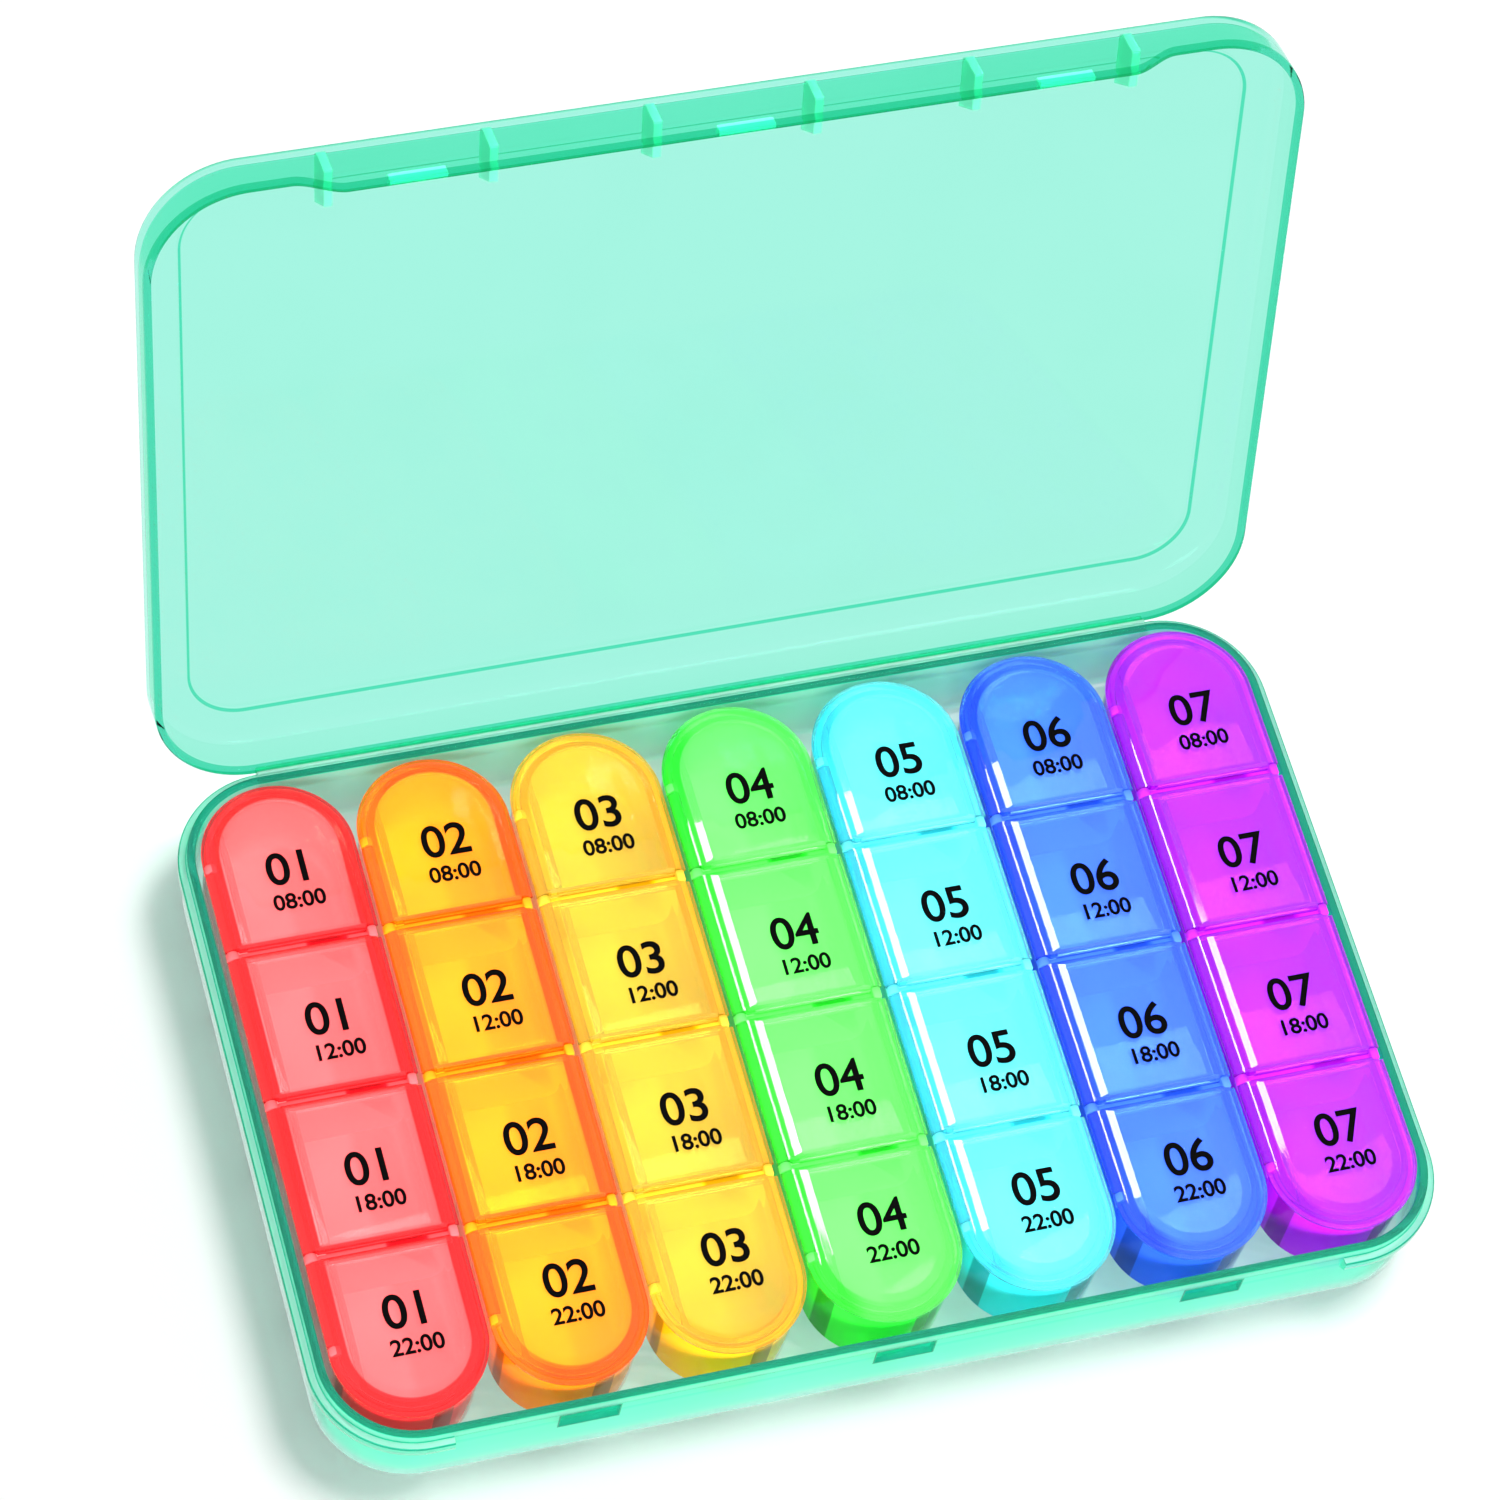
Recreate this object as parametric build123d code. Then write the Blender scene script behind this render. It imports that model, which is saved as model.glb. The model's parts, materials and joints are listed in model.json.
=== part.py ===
from build123d import *
import os
from math import cos, radians, sin

# A weekly pill organizer: a flat case with a hinged lid and, inside it, seven lift-out day boxes in a
# row, each with four compartments under four small hinged lids. Sizes are in millimetres and degrees.
# X runs along the week, Y points to the case's hinge and Z up. The origin is at the centre of the
# case's underside. The case lid is drawn open, as it stands in use, and everything else is shut.

# The days and the four times of day, from the hinge side to the front
DAYS = ["sun", "mon", "tue", "wed", "thu", "fri", "sat"]
TIMES = ["morn", "noon", "night", "spare"]

# Day boxes
DAY_PITCH = 28.5
BOX_GAP = 0.65
BOX_LENGTH = 124.8
COMPARTMENT_PITCH = 29.9
BOX_HEIGHT = 16.4
BOX_WALL = 1.2
BOX_FLOOR = 1.2
BOX_DRAFT = 1.5
BOX_FLOOR_FILLET = 2.5
DIVIDER = 1.2

# Small lids, their hinge barrels and the posts between their free corners
LID_OVERHANG = 0.6
LID_HEIGHT = 2.0
LID_PANEL = 1.2
LID_CROWN = 3.1
LID_BEVEL_WIDTH = 1.5
LID_BEVEL_HEIGHT = 0.35
LID_LEDGE = 0.8
LID_LEDGE_HEIGHT = 0.7
LID_WALL = 1.1
LID_END_GAP = 1.2
LID_EDGE_CHAMFER = 0.5
PLUG_WALL = 0.9
PLUG_DEPTH = 1.3
BARREL_RADIUS = 1.2
BARREL_RISE = 0.15
PIN_RADIUS = 0.6
PIN_LENGTH = 0.6
PIN_CLEARANCE = 0.05
EAR_WIDTH = 1.6
EAR_ROOT = 2.4
POST_WIDTH = 1.6
POST_LENGTH = 2.2
POST_HEIGHT = 1.3

# Case
CASE_SIDE_ROOM = 0.45
CASE_END_ROOM = 1.65
CASE_FLOOR = 1.8
LIP_WALL = 1.6
LIP_HEIGHT = 1.95
LEDGE_WIDTH = 1.5
LEDGE_BELOW_RIM = 2.95
LEDGE_THICKNESS = 2.2
CASE_CORNER = 18.3
CASE_BOTTOM_FILLET = 2.0
CASE_FLOOR_FILLET = 1.0
FRONT_RECESS = 162.6

# Latch: slots in the base's front, catches on the lid's flap
LATCH_SPACING = 57.0
SLOT_WIDTH = 10.6
SLOT_HEIGHT = 4.4
SLOT_DEPTH = 1.1
SLOT_BELOW_LEDGE = 0.75
CATCH_HEIGHT = 2.0
CATCH_DEPTH = 1.0
CATCH_END_ROOM = 0.3
CATCH_TOP_ROOM = 0.15

# Case lid
COVER_HEIGHT = 10.0
COVER_WALL = 1.35
COVER_PANEL = 1.5
COVER_EDGE_FILLET = 3.0
COVER_FIELD_INSET = 8.0
COVER_FIELD_STEP = 0.4
FLAP_DROP = 3.6
FLAP_WIDTH = 138.0
FLAP_SWEEP = 9.0
RIB_THICKNESS = 1.5
RIB_TOP_REACH = 11.0
RIB_BOTTOM_REACH = 7.0
RIB_LIP_ROOM = 0.35
OPEN_ANGLE = 107.0

# Hinge strip along the case's rear edge
STRIP_LENGTH = 170.0
STRIP_RADIUS = 0.45
STOP_REACH = 1.6
STOP_THICKNESS = 1.2

# Running clearance between faces that move past each other, and under pieces that rest
PLAY = 0.15
REST_GAP = 0.1

# Places worked out from the sizes above
day_x = [DAY_PITCH * (i - (len(DAYS) - 1) / 2) for i in range(len(DAYS))]
lid_half = (DAY_PITCH - BOX_GAP) / 2
lid_end = BOX_LENGTH / 2
round_y = lid_end - lid_half
dividers_y = [COMPARTMENT_PITCH, 0.0, -COMPARTMENT_PITCH]

box_z = CASE_FLOOR + REST_GAP
rim_z = box_z + BOX_HEIGHT
lid_z = rim_z + REST_GAP
lid_top = lid_z + LID_HEIGHT
barrel_x = -lid_half + BARREL_RADIUS
barrel_z = lid_z + BARREL_RISE

lip_x = DAY_PITCH * len(DAYS) / 2 + CASE_SIDE_ROOM
lip_y = lid_end + CASE_END_ROOM
wall_x = lip_x + LIP_WALL
wall_y = lip_y + LIP_WALL
case_x = wall_x + LEDGE_WIDTH
case_y = wall_y + LEDGE_WIDTH
ledge_top = rim_z - LEDGE_BELOW_RIM
lip_top = ledge_top + LIP_HEIGHT
slot_top = ledge_top - SLOT_BELOW_LEDGE

cover_z = ledge_top + REST_GAP
cover_top = cover_z + COVER_HEIGHT
hinge_y = case_y
hinge_z = ledge_top + REST_GAP / 2
hinge = Axis((0, hinge_y, hinge_z), (1, 0, 0))


def slab(half_x, half_y, corner, low, high):
    """Upright block with four rounded corners."""
    return extrude(Pos(0, 0, low) * RectangleRounded(2 * half_x, 2 * half_y, corner), high - low)


def block(low, high):
    """Square block between two opposite corners."""
    size = [b - a for a, b in zip(low, high)]
    middle = [(a + b) / 2 for a, b in zip(low, high)]
    return Pos(*middle) * Box(*size)


def rod(radius, x, z, low_y, high_y):
    """Round rod along Y."""
    return extrude(Plane.XZ.offset(-low_y) * Pos(x, z) * Circle(radius), -(high_y - low_y))


def along_y(points, low_y, high_y):
    """Prism with an outline of (x, z) points, drawn along Y."""
    return extrude(Plane.XZ.offset(-low_y) * make_face(Polyline(*points, close=True)), -(high_y - low_y))


def along_x(points, low_x, high_x):
    """Prism with an outline of (y, z) points, drawn along X."""
    return extrude(Plane.YZ.offset(low_x) * make_face(Polyline(*points, close=True)), high_x - low_x)


def mirrored(shape):
    """The same shape on the other side of the middle divider."""
    return mirror(shape, about=Plane.XZ)


def tapered_stadium(inset, depth):
    """Round-ended block under a box's rim, drawn in by the walls' draft as it goes down."""
    width = 2 * (lid_half - LID_OVERHANG - inset)
    length = BOX_LENGTH - 2 * (LID_OVERHANG + inset)
    outline = Pos(0, 0, rim_z) * SlotOverall(length, width, rotation=90)
    return extrude(outline, depth, dir=(0, 0, -1), taper=BOX_DRAFT)


def compartments():
    """The four hollows of a day box, with rounded floors."""
    hollow = tapered_stadium(BOX_WALL, BOX_HEIGHT - BOX_FLOOR)
    for y in dividers_y:
        hollow -= block((-lid_half, y - DIVIDER / 2, 0), (lid_half, y + DIVIDER / 2, rim_z + 1))
    cells = [fillet(cell.edges().group_by(Axis.Z)[0], BOX_FLOOR_FILLET) for cell in hollow.solids()]
    return cells


def ear(low_y, high_y):
    """Hinge ear on the left wall, with a hole for the lid pins."""
    root_half = BOX_WALL / 2
    web = [
        (barrel_x - BARREL_RADIUS, barrel_z),
        (barrel_x - root_half, barrel_z - EAR_ROOT),
        (barrel_x + root_half, barrel_z - EAR_ROOT),
        (barrel_x + BARREL_RADIUS, barrel_z),
    ]
    body = rod(BARREL_RADIUS, barrel_x, barrel_z, low_y, high_y) + along_y(web, low_y, high_y)
    return body - rod(PIN_RADIUS + PIN_CLEARANCE, barrel_x, barrel_z, low_y, high_y)


def ear_spans():
    """Where the five ears of a box lie along Y: at each divider and where each round end starts."""
    spans = [(y - EAR_WIDTH / 2, y + EAR_WIDTH / 2) for y in dividers_y]
    spans.append((round_y - EAR_WIDTH, round_y))
    spans.append((-round_y, -round_y + EAR_WIDTH))
    return spans


def day_box():
    """One day's box: four compartments, hinge ears on the left, corner posts on the right."""
    body = tapered_stadium(0, BOX_HEIGHT)
    for cell in compartments():
        body -= cell
    sweep = BARREL_RADIUS + PLAY
    body -= rod(sweep, barrel_x, barrel_z, -round_y, round_y)
    flange_sweep = BARREL_RADIUS + LID_LEDGE / 2
    body -= rod(flange_sweep, barrel_x, barrel_z, round_y, lid_end)
    body -= rod(flange_sweep, barrel_x, barrel_z, -lid_end, -round_y)
    for low_y, high_y in ear_spans():
        body += ear(low_y, high_y)
    post_x = lid_half - LID_OVERHANG - POST_WIDTH / 2
    for y in dividers_y:
        low = (post_x - POST_WIDTH / 2 + PLAY, y - POST_LENGTH / 2, rim_z)
        high = (post_x + POST_WIDTH / 2, y + POST_LENGTH / 2, rim_z + POST_HEIGHT)
        body += block(low, high)
    return body


def crown_half():
    """Right half of a lid's outer section: finger ledge, crown, bevel and panel, as (x, z) points."""
    ledge_x = lid_half - LID_LEDGE
    return [
        (lid_half, lid_z),
        (lid_half, lid_z + LID_LEDGE_HEIGHT),
        (ledge_x, lid_z + LID_LEDGE_HEIGHT),
        (ledge_x - 0.2 * LID_CROWN, lid_top - 0.3 * LID_HEIGHT),
        (lid_half - LID_CROWN, lid_top - LID_BEVEL_HEIGHT),
        (lid_half - LID_CROWN - LID_BEVEL_WIDTH, lid_top),
    ]


def hollow_half():
    """Right half of the shallow hollow under a lid, as (x, z) points."""
    side = lid_half - LID_LEDGE - LID_WALL
    roof = lid_top - LID_PANEL
    return [(side, lid_z), (side, lid_z + 0.4 * (roof - lid_z)), (lid_half - LID_CROWN, roof)]


def straight_shell(low_y, high_y):
    """The straight part of a lid, between two lines across the box, with its hinge barrel."""
    right = crown_half()
    left = [
        (-lid_half + LID_CROWN + LID_BEVEL_WIDTH, lid_top),
        (-lid_half + LID_CROWN, lid_top - LID_BEVEL_HEIGHT),
        (barrel_x + 0.1 * LID_CROWN, lid_top - 0.25 * LID_HEIGHT),
        (barrel_x - BARREL_RADIUS * sin(radians(45)), barrel_z + BARREL_RADIUS * cos(radians(45))),
        (barrel_x, barrel_z),
        (barrel_x, lid_z),
    ]
    shell = along_y(right + left, low_y, high_y)
    shell += rod(BARREL_RADIUS, barrel_x, barrel_z, low_y, high_y)
    return shell


def straight_hollow(low_y, high_y):
    """The hollow under the straight part of a lid."""
    half = hollow_half()
    left_x = barrel_x + BARREL_RADIUS + PLAY
    left = [(-lid_half + LID_CROWN, half[-1][1]), (left_x, half[1][1]), (left_x, lid_z)]
    return along_y(half + left, low_y, high_y)


def half_turn(points):
    """Half a turn of a section about the upright line at the centre of a box's round end."""
    outline = [(0, points[0][1])] + points + [(0, points[-1][1])]
    face = Plane.XZ.offset(-round_y) * make_face(Polyline(*outline, close=True))
    return revolve(face, Axis((0, round_y, 0), (0, 0, 1)), 180)


def plug(low_y, high_y, round_end):
    """Rim under a lid that drops into its compartment, open on the hinge side."""
    outer = lid_half - LID_OVERHANG - BOX_WALL - PLAY
    inner = outer - PLUG_WALL
    low_z = lid_z - PLUG_DEPTH
    left_x = barrel_x + BARREL_RADIUS + 2 * PLUG_WALL
    if round_end:
        ring = half_turn([(outer, low_z), (outer, lid_z)])
        ring += block((-outer, low_y, low_z), (outer, round_y, lid_z))
        hole = half_turn([(inner, low_z), (inner, lid_z)])
        hole += block((-inner, low_y + PLUG_WALL, low_z), (inner, round_y, lid_z))
    else:
        ring = block((-outer, low_y, low_z), (outer, high_y, lid_z))
        hole = block((-inner, low_y + PLUG_WALL, low_z), (inner, high_y - PLUG_WALL, lid_z))
    trim = block((-lid_half, low_y - 1, low_z - 1), (left_x, high_y + 1, lid_z + 1))
    return ring - hole - trim


def corner_reliefs(y, side):
    """Cuts that clear the ear and the post beside a divider; side is +1 where the lid lies behind it."""
    reach = EAR_WIDTH / 2 + PLAY
    ear_x = barrel_x + BARREL_RADIUS + PLAY
    ear_y = sorted((y - side, y + side * reach))
    ear_cut = block((-lid_half - 1, ear_y[0], lid_z - PLUG_DEPTH - 1), (ear_x, ear_y[1], lid_top + 1))
    post_x = lid_half - LID_OVERHANG - POST_WIDTH
    post_y = sorted((y - side, y + side * (POST_LENGTH / 2 + PLAY)))
    post_cut = block((post_x, post_y[0], lid_z - PLUG_DEPTH - 1), (lid_half + 1, post_y[1], lid_top + 1))
    return [ear_cut, post_cut]


def pin(y, side):
    """Hinge pin on a barrel's end; side is the way it points along Y."""
    ends = sorted((y, y + side * (PLAY + PIN_LENGTH)))
    return rod(PIN_RADIUS, barrel_x, barrel_z, ends[0], ends[1])


def middle_lid():
    """Lid over a compartment between two dividers, drawn behind the middle divider."""
    low_y = LID_END_GAP / 2
    high_y = COMPARTMENT_PITCH - LID_END_GAP / 2
    lid = straight_shell(low_y, high_y)
    lid -= straight_hollow(low_y + LID_WALL, high_y - LID_WALL)
    lid = chamfered_ends(lid, [low_y, high_y])
    plug_low = DIVIDER / 2 + PLAY
    lid += plug(plug_low, COMPARTMENT_PITCH - plug_low, False)
    for cut in corner_reliefs(0, 1) + corner_reliefs(COMPARTMENT_PITCH, -1):
        lid -= cut
    barrel_end = EAR_WIDTH / 2 + PLAY
    lid += pin(barrel_end, -1)
    lid += pin(COMPARTMENT_PITCH - barrel_end, 1)
    return lid


def chamfered_ends(lid, ends):
    """The lid with its upper edges beside the dividers taken off."""
    top_edges = lid.edges().filter_by(Axis.X).group_by(Axis.Z)[-1]
    end_edges = [edge for edge in top_edges if any(abs(edge.center().Y - y) < 0.01 for y in ends)]
    return chamfer(end_edges, LID_EDGE_CHAMFER)


def end_lid():
    """Lid over the compartment at a round end, drawn at the hinge side of the case."""
    low_y = COMPARTMENT_PITCH + LID_END_GAP / 2
    lid = straight_shell(low_y, round_y) + half_turn(crown_half())
    lid -= straight_hollow(low_y + LID_WALL, round_y)
    lid -= half_turn(hollow_half())
    lid = chamfered_ends(lid, [low_y])
    lid += plug(COMPARTMENT_PITCH + DIVIDER / 2 + PLAY, lid_end, True)
    for cut in corner_reliefs(COMPARTMENT_PITCH, 1):
        lid -= cut
    ear_low = round_y - EAR_WIDTH - PLAY
    ear_x = barrel_x + BARREL_RADIUS + PLAY
    lid -= block((-lid_half - 1, ear_low, lid_z - PLUG_DEPTH - 1), (ear_x, round_y + PLAY, lid_top + 1))
    lid += pin(COMPARTMENT_PITCH + EAR_WIDTH / 2 + PLAY, -1)
    lid += pin(ear_low, 1)
    return lid


def latch_slots():
    """Three pockets in the base's front wall."""
    front = -wall_y
    return [
        block(
            (x - SLOT_WIDTH / 2, front - 1, slot_top - SLOT_HEIGHT),
            (x + SLOT_WIDTH / 2, front + SLOT_DEPTH, slot_top),
        )
        for x in (-LATCH_SPACING, 0, LATCH_SPACING)
    ]


def hinge_stop():
    """Sloped lip under the hinge strip, on which the open case lid comes to rest."""
    tilt = radians(OPEN_ANGLE - 90)
    reach = STOP_REACH * cos(tilt)
    fall = STOP_REACH * sin(tilt)
    top = hinge_z - REST_GAP
    points = [
        (wall_y, top),
        (hinge_y, top),
        (hinge_y + reach, top - fall),
        (hinge_y + reach, top - fall - STOP_THICKNESS / 2),
        (wall_y, top - fall - STOP_THICKNESS - STOP_REACH),
    ]
    return along_x(points, -STRIP_LENGTH / 2, STRIP_LENGTH / 2)


def case_base():
    """Tray with an inner lip, an outer ledge for the lid and latch slots in front."""
    tub = slab(wall_x, wall_y, CASE_CORNER - LEDGE_WIDTH, 0, lip_top)
    tub = fillet(tub.edges().group_by(Axis.Z)[0], CASE_BOTTOM_FILLET)
    ledge = slab(case_x, case_y, CASE_CORNER, ledge_top - LEDGE_THICKNESS - LEDGE_WIDTH, ledge_top)
    ledge = chamfer(ledge.edges().group_by(Axis.Z)[0], LEDGE_WIDTH * 0.95)
    ledge -= block((-FRONT_RECESS / 2, -case_y - 1, 0), (FRONT_RECESS / 2, -wall_y, ledge_top + 1))
    hollow = slab(lip_x, lip_y, CASE_CORNER - LEDGE_WIDTH - LIP_WALL, CASE_FLOOR, lip_top + 1)
    hollow = fillet(hollow.edges().group_by(Axis.Z)[0], CASE_FLOOR_FILLET)
    base = tub + ledge + hinge_stop() - hollow
    for slot in latch_slots():
        base -= slot
    return base - strip_groove()


def strip(radius):
    """Round rod along the hinge."""
    return Pos(0, hinge_y, hinge_z) * Rot(0, 90, 0) * Cylinder(radius, STRIP_LENGTH)


def strip_groove():
    """Room for the hinge strip."""
    groove = Cylinder(STRIP_RADIUS + PIN_CLEARANCE, STRIP_LENGTH + 2 * REST_GAP)
    return Pos(0, hinge_y, hinge_z) * Rot(0, 90, 0) * groove


def flap():
    """The lid's front wall where it reaches down over the base, with a sweep at each end."""
    ring = slab(case_x, case_y, CASE_CORNER, cover_z - FLAP_DROP, cover_z + 1)
    ring -= slab(case_x - COVER_WALL, case_y - COVER_WALL, CASE_CORNER - COVER_WALL, 0, cover_top)
    inner_x = FLAP_WIDTH / 2
    outer_x = inner_x + FLAP_SWEEP
    middle = (inner_x + FLAP_SWEEP / 2, cover_z - FLAP_DROP / 2)
    half = [
        Line((0, cover_z - FLAP_DROP), (inner_x, cover_z - FLAP_DROP)),
        TangentArc((inner_x, cover_z - FLAP_DROP), middle, tangent=(1, 0)),
        TangentArc((outer_x, cover_z), middle, tangent=(-1, 0)),
        Line((outer_x, cover_z), (outer_x, cover_z + 1)),
        Line((outer_x, cover_z + 1), (0, cover_z + 1)),
        Line((0, cover_z + 1), (0, cover_z - FLAP_DROP)),
    ]
    face = make_face(Curve() + half)
    face = face + mirror(face, about=Plane.YZ)
    mask = extrude(Plane.XZ.offset(case_y / 2) * face, case_y)
    return ring & mask


def catches():
    """Three wedges inside the flap that snap into the base's slots."""
    inner = -case_y + COVER_WALL
    top = slot_top - CATCH_TOP_ROOM
    points = [
        (inner - COVER_WALL / 2, top),
        (inner + CATCH_DEPTH, top),
        (inner + CATCH_DEPTH, top - CATCH_HEIGHT / 2),
        (inner, top - CATCH_HEIGHT),
        (inner - COVER_WALL / 2, top - CATCH_HEIGHT),
    ]
    half = SLOT_WIDTH / 2 - CATCH_END_ROOM
    return [along_x(points, x - half, x + half) for x in (-LATCH_SPACING, 0, LATCH_SPACING)]


def gussets():
    """Ribs inside the lid's front wall that reach down between the round ends of the boxes."""
    inner = -case_y + COVER_WALL
    bottom = lip_top + RIB_LIP_ROOM
    roof = cover_top - COVER_PANEL / 2
    points = [
        (inner - COVER_WALL / 2, bottom),
        (inner + RIB_BOTTOM_REACH, bottom),
        (inner + RIB_TOP_REACH, roof),
        (inner - COVER_WALL / 2, roof),
    ]
    places = [x + DAY_PITCH / 2 for x in day_x[:-1]]
    return [along_x(points, x - RIB_THICKNESS / 2, x + RIB_THICKNESS / 2) for x in places]


def closed_cover():
    """The case lid as it lies when the case is shut."""
    cover = slab(case_x, case_y, CASE_CORNER, cover_z, cover_top)
    outside = fillet(cover.edges().group_by(Axis.Z)[-1], COVER_EDGE_FILLET)
    inner = [case_x - COVER_WALL, case_y - COVER_WALL, CASE_CORNER - COVER_WALL]
    hollow = slab(*inner, cover_z - 1, cover_top - COVER_PANEL)
    hollow = fillet(hollow.edges().group_by(Axis.Z)[-1], COVER_EDGE_FILLET - COVER_WALL)
    inset = COVER_FIELD_INSET
    field = [case_x - inset, case_y - inset, CASE_CORNER - inset]
    cover = outside - hollow + slab(*field, cover_top - COVER_PANEL / 2, cover_top + COVER_FIELD_STEP)
    cover -= slab(*field, cover_top - COVER_PANEL - 1, cover_top - COVER_PANEL + COVER_FIELD_STEP)
    cover += flap()
    for rib in gussets():
        cover += rib & outside
    for catch in catches():
        cover += catch
    return cover - strip_groove()


def save(name, shape):
    """Write one node."""
    export_step(shape, f"parts/{name}.step")


os.makedirs("parts", exist_ok=True)
save("case_base", case_base())
save("case_lid", closed_cover().rotate(hinge, -OPEN_ANGLE))
save("hinge_strip", strip(STRIP_RADIUS))

box = day_box()
lids = {"morn": end_lid(), "noon": middle_lid()}
lids["night"] = mirrored(lids["noon"])
lids["spare"] = mirrored(lids["morn"])
for day, x in zip(DAYS, day_x):
    save(f"{day}_box", Pos(x, 0, 0) * box)
    for time in TIMES:
        save(f"{day}_{time}_lid", Pos(x, 0, 0) * lids[time])
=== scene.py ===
"""Weekly pill organizer: a translucent case, its open cover, seven day boxes and their small lids."""

import json
import math

import bmesh
import bpy
import numpy as np
from bpy.props import FloatProperty, FloatVectorProperty, IntProperty, PointerProperty
from mathutils import Matrix, Vector


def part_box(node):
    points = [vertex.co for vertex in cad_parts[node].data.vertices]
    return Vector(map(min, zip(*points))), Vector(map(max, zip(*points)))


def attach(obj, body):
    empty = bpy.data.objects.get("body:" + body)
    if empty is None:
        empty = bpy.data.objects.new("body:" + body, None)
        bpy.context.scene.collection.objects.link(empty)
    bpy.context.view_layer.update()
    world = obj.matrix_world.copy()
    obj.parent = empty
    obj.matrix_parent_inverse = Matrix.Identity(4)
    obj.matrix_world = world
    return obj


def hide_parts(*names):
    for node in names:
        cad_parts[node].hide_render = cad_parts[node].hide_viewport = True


bl_info = {
    "name": "Weekly Pill Organizer",
    "version": (1, 0, 0),
    "blender": (4, 5, 0),
    "location": "3D View > Sidebar > Organizer",
    "description": "Translucent seven-day pill case with lift-out day boxes and small hinged lids",
    "category": "Add Mesh",
}

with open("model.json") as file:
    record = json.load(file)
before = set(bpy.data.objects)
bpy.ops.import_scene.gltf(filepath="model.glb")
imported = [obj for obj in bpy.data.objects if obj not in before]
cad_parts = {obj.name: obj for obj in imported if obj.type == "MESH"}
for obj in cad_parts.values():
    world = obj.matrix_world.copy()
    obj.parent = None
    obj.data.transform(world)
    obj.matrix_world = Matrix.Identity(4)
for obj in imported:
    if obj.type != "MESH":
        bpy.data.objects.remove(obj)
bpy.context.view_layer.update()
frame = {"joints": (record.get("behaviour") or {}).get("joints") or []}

MM = 0.001
DAYS = ["sun", "mon", "tue", "wed", "thu", "fri", "sat"]
TIMES = ["morn", "noon", "night", "spare"]
# The red, orange and yellow boxes: narrower bands of painted shade, and no white line on their lids' bevels
WARM_DAYS = DAYS[:3]
TAU = 2 * math.pi
# Painted light and shade on a lid's crown, by day: how deep its colour is on its left and on its right and
# round end
CROWN_PAINTED_SHADE = {
    "sun": (1.0, 1.0), "mon": (0.8, 1.05), "tue": (0.45, 0.6), "wed": (0.9, 0.35),
    "thu": (0.75, 0.3), "fri": (0.85, 0.45), "sat": (1.05, 0.35),
}


def linear(red, green, blue):
    """A colour as a screen shows it, 0 to 255, as the linear values that shaders take."""
    values = np.array([red, green, blue]) / 255
    return tuple(np.where(values <= 0.04045, values / 12.92, ((values + 0.055) / 1.055) ** 2.4))


def low_mm(node):
    """A CAD node's lowest corner, in millimetres."""
    return np.array(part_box(node)[0]) / MM


def high_mm(node):
    """A CAD node's highest corner, in millimetres."""
    return np.array(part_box(node)[1]) / MM


# Sizes read from the frame, in millimetres
CASE_X = high_mm("case_base")[0]
CASE_Y = -low_mm("case_base")[1]
LIP_TOP = high_mm("case_base")[2]
DAY_X = [(low_mm(f"{day}_noon_lid")[0] + high_mm(f"{day}_noon_lid")[0]) / 2 for day in DAYS]
LID_HALF = (high_mm("wed_noon_lid")[0] - low_mm("wed_noon_lid")[0]) / 2
LID_END = high_mm("wed_morn_lid")[1]
LID_TOP = high_mm("wed_noon_lid")[2]
ROUND_Y = LID_END - LID_HALF
HINGE = [joint for joint in frame["joints"] if joint["name"] == "cover_hinge"][0]
HINGE_Y = HINGE["pos_m"][1] / MM
HINGE_Z = HINGE["pos_m"][2] / MM
OPEN_ANGLE = -HINGE["range_deg"][0]
TUB_RIM = high_mm("wed_box")[2] - 1.45
TUB_FOOT = low_mm("wed_box")[2]

# Sizes that several pieces share, in millimetres. A small lid rises this much over its lower edge, its
# hinge line lies a barrel's radius in from its left side, and the play parts it from ears and posts.
LID_RISE = 2.0
HINGE_HALF = 85.0
LATCH_PITCH = 57.0
LATCHES = (-LATCH_PITCH, 0.0, LATCH_PITCH)
DIVIDER_PITCH = 29.9
DIVIDERS = (-DIVIDER_PITCH, 0.0, DIVIDER_PITCH)
EAR_HALF = 0.8
POST_HALF = 1.1
BARREL = 1.2
PLAY = 0.15


def length(name, description, millimetres):
    """A length that a user may change, which starts at this many millimetres."""
    return FloatProperty(name=name, description=description, default=millimetres * MM, unit="LENGTH")


def colour(name, description, red, green, blue):
    """A colour that a user may change, which starts at this colour as a screen shows it."""
    start = linear(red, green, blue)
    return FloatVectorProperty(name=name, description=description, default=start, subtype="COLOR")


class CaseSizes(bpy.types.PropertyGroup):
    """The case base, its cover and the colours of both."""

    corner: length("Corner Radius", "Radius of the case's corners in plan", 18.3)
    ledge_top: length("Ledge Height", "Height of the ledge that the cover rests on", 15.35)
    ledge_width: length("Ledge Width", "How far the ledge stands out from the wall", 1.5)
    lip_wall: length("Lip Wall", "Thickness of the base's wall and lip", 1.6)
    floor: length("Floor", "Thickness of the base's floor", 1.8)
    cover_wall: length("Cover Wall", "Thickness of the cover's wall", 1.35)
    cover_panel: length("Cover Panel", "Thickness of the cover's panel", 1.5)
    cover_height: length("Cover Height", "Height of the cover's wall", 10.0)
    flap_drop: length("Flap Drop", "How far the cover's flap reaches below its rim", 3.6)
    clear: colour("Panel Colour", "Colour of the plastic looked through", 165, 246, 226)
    pale: colour("Base Colour", "Colour of the base's floor", 212, 249, 241)
    deep: colour("Base Edge", "Colour of the base's walls", 35, 252, 205)
    catch: colour("Catch Colour", "Colour of the cover's ribs and catches", 170, 255, 238)
    rim: colour("Cover Edge", "Colour of the cover seen edge on", 40, 225, 165)


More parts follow.
